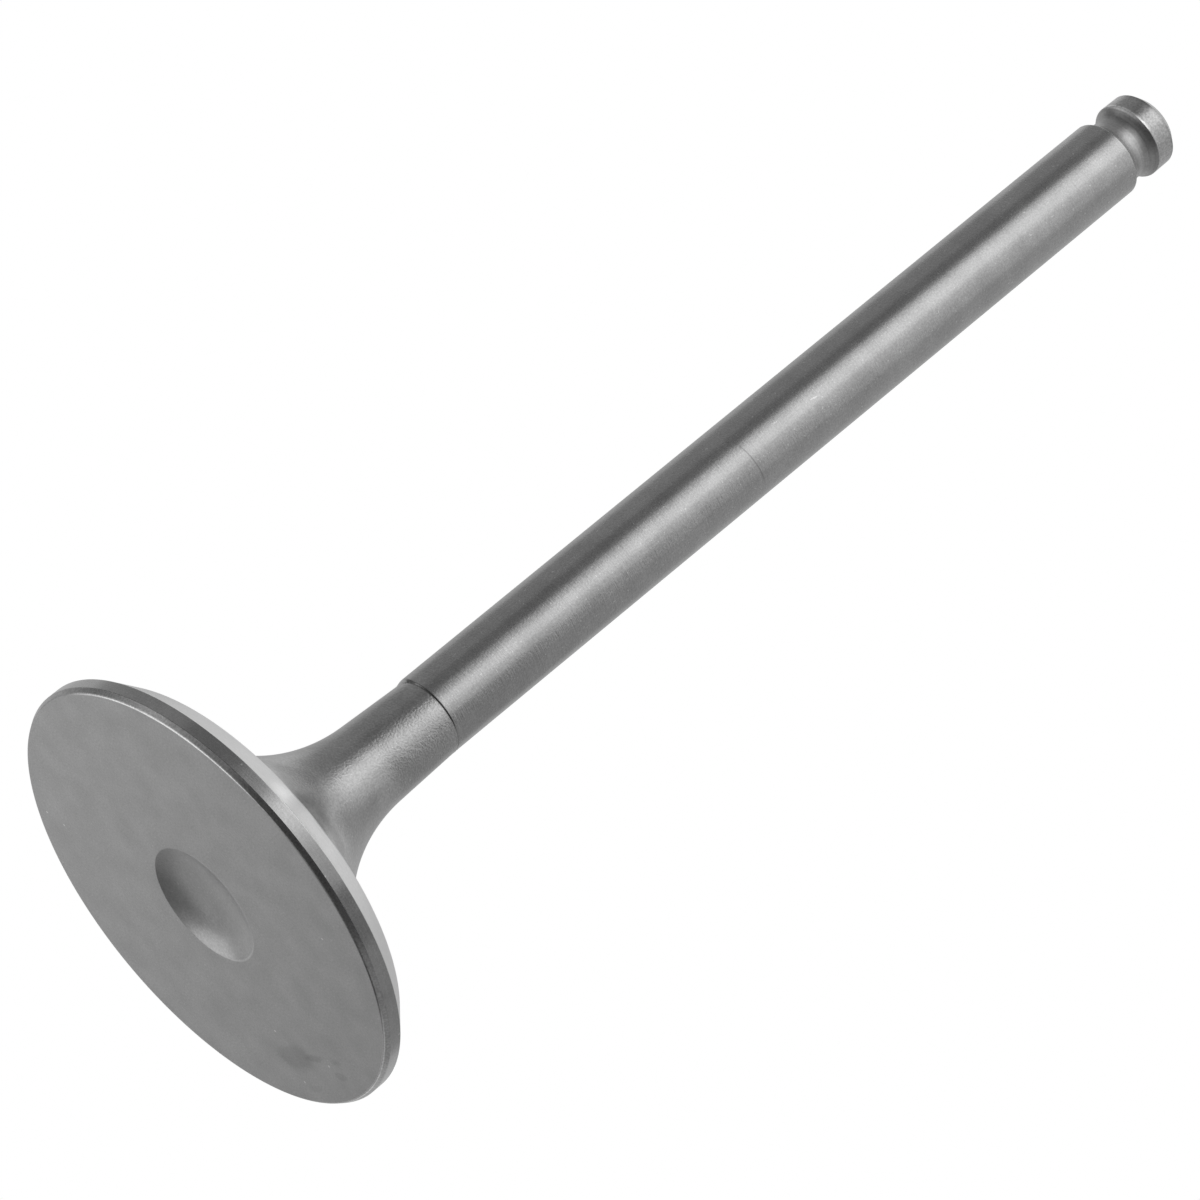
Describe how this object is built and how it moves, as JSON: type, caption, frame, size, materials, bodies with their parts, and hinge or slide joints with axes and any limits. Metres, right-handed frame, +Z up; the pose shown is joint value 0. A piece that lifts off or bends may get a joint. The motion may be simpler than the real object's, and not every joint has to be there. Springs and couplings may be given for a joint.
{
  "type": "engine valve",
  "caption": "Poppet valve for a piston engine: round head with a ground seat, tulip neck, long ground stem and a round-bottomed keeper groove.",
  "frame": {"origin": "centre of the head's flat face", "axes": "+Z up the stem towards the tip; the valve stands on the face of its head"},
  "size_m": [0.0446, 0.0446, 0.1296],
  "materials": {
    "valve_steel": "satin ground steel, the head's face and tulip duller than the ground stem and seat"
  },
  "bodies": {
    "root": {"valve": "valve_steel"}
  },
  "joints": []
}
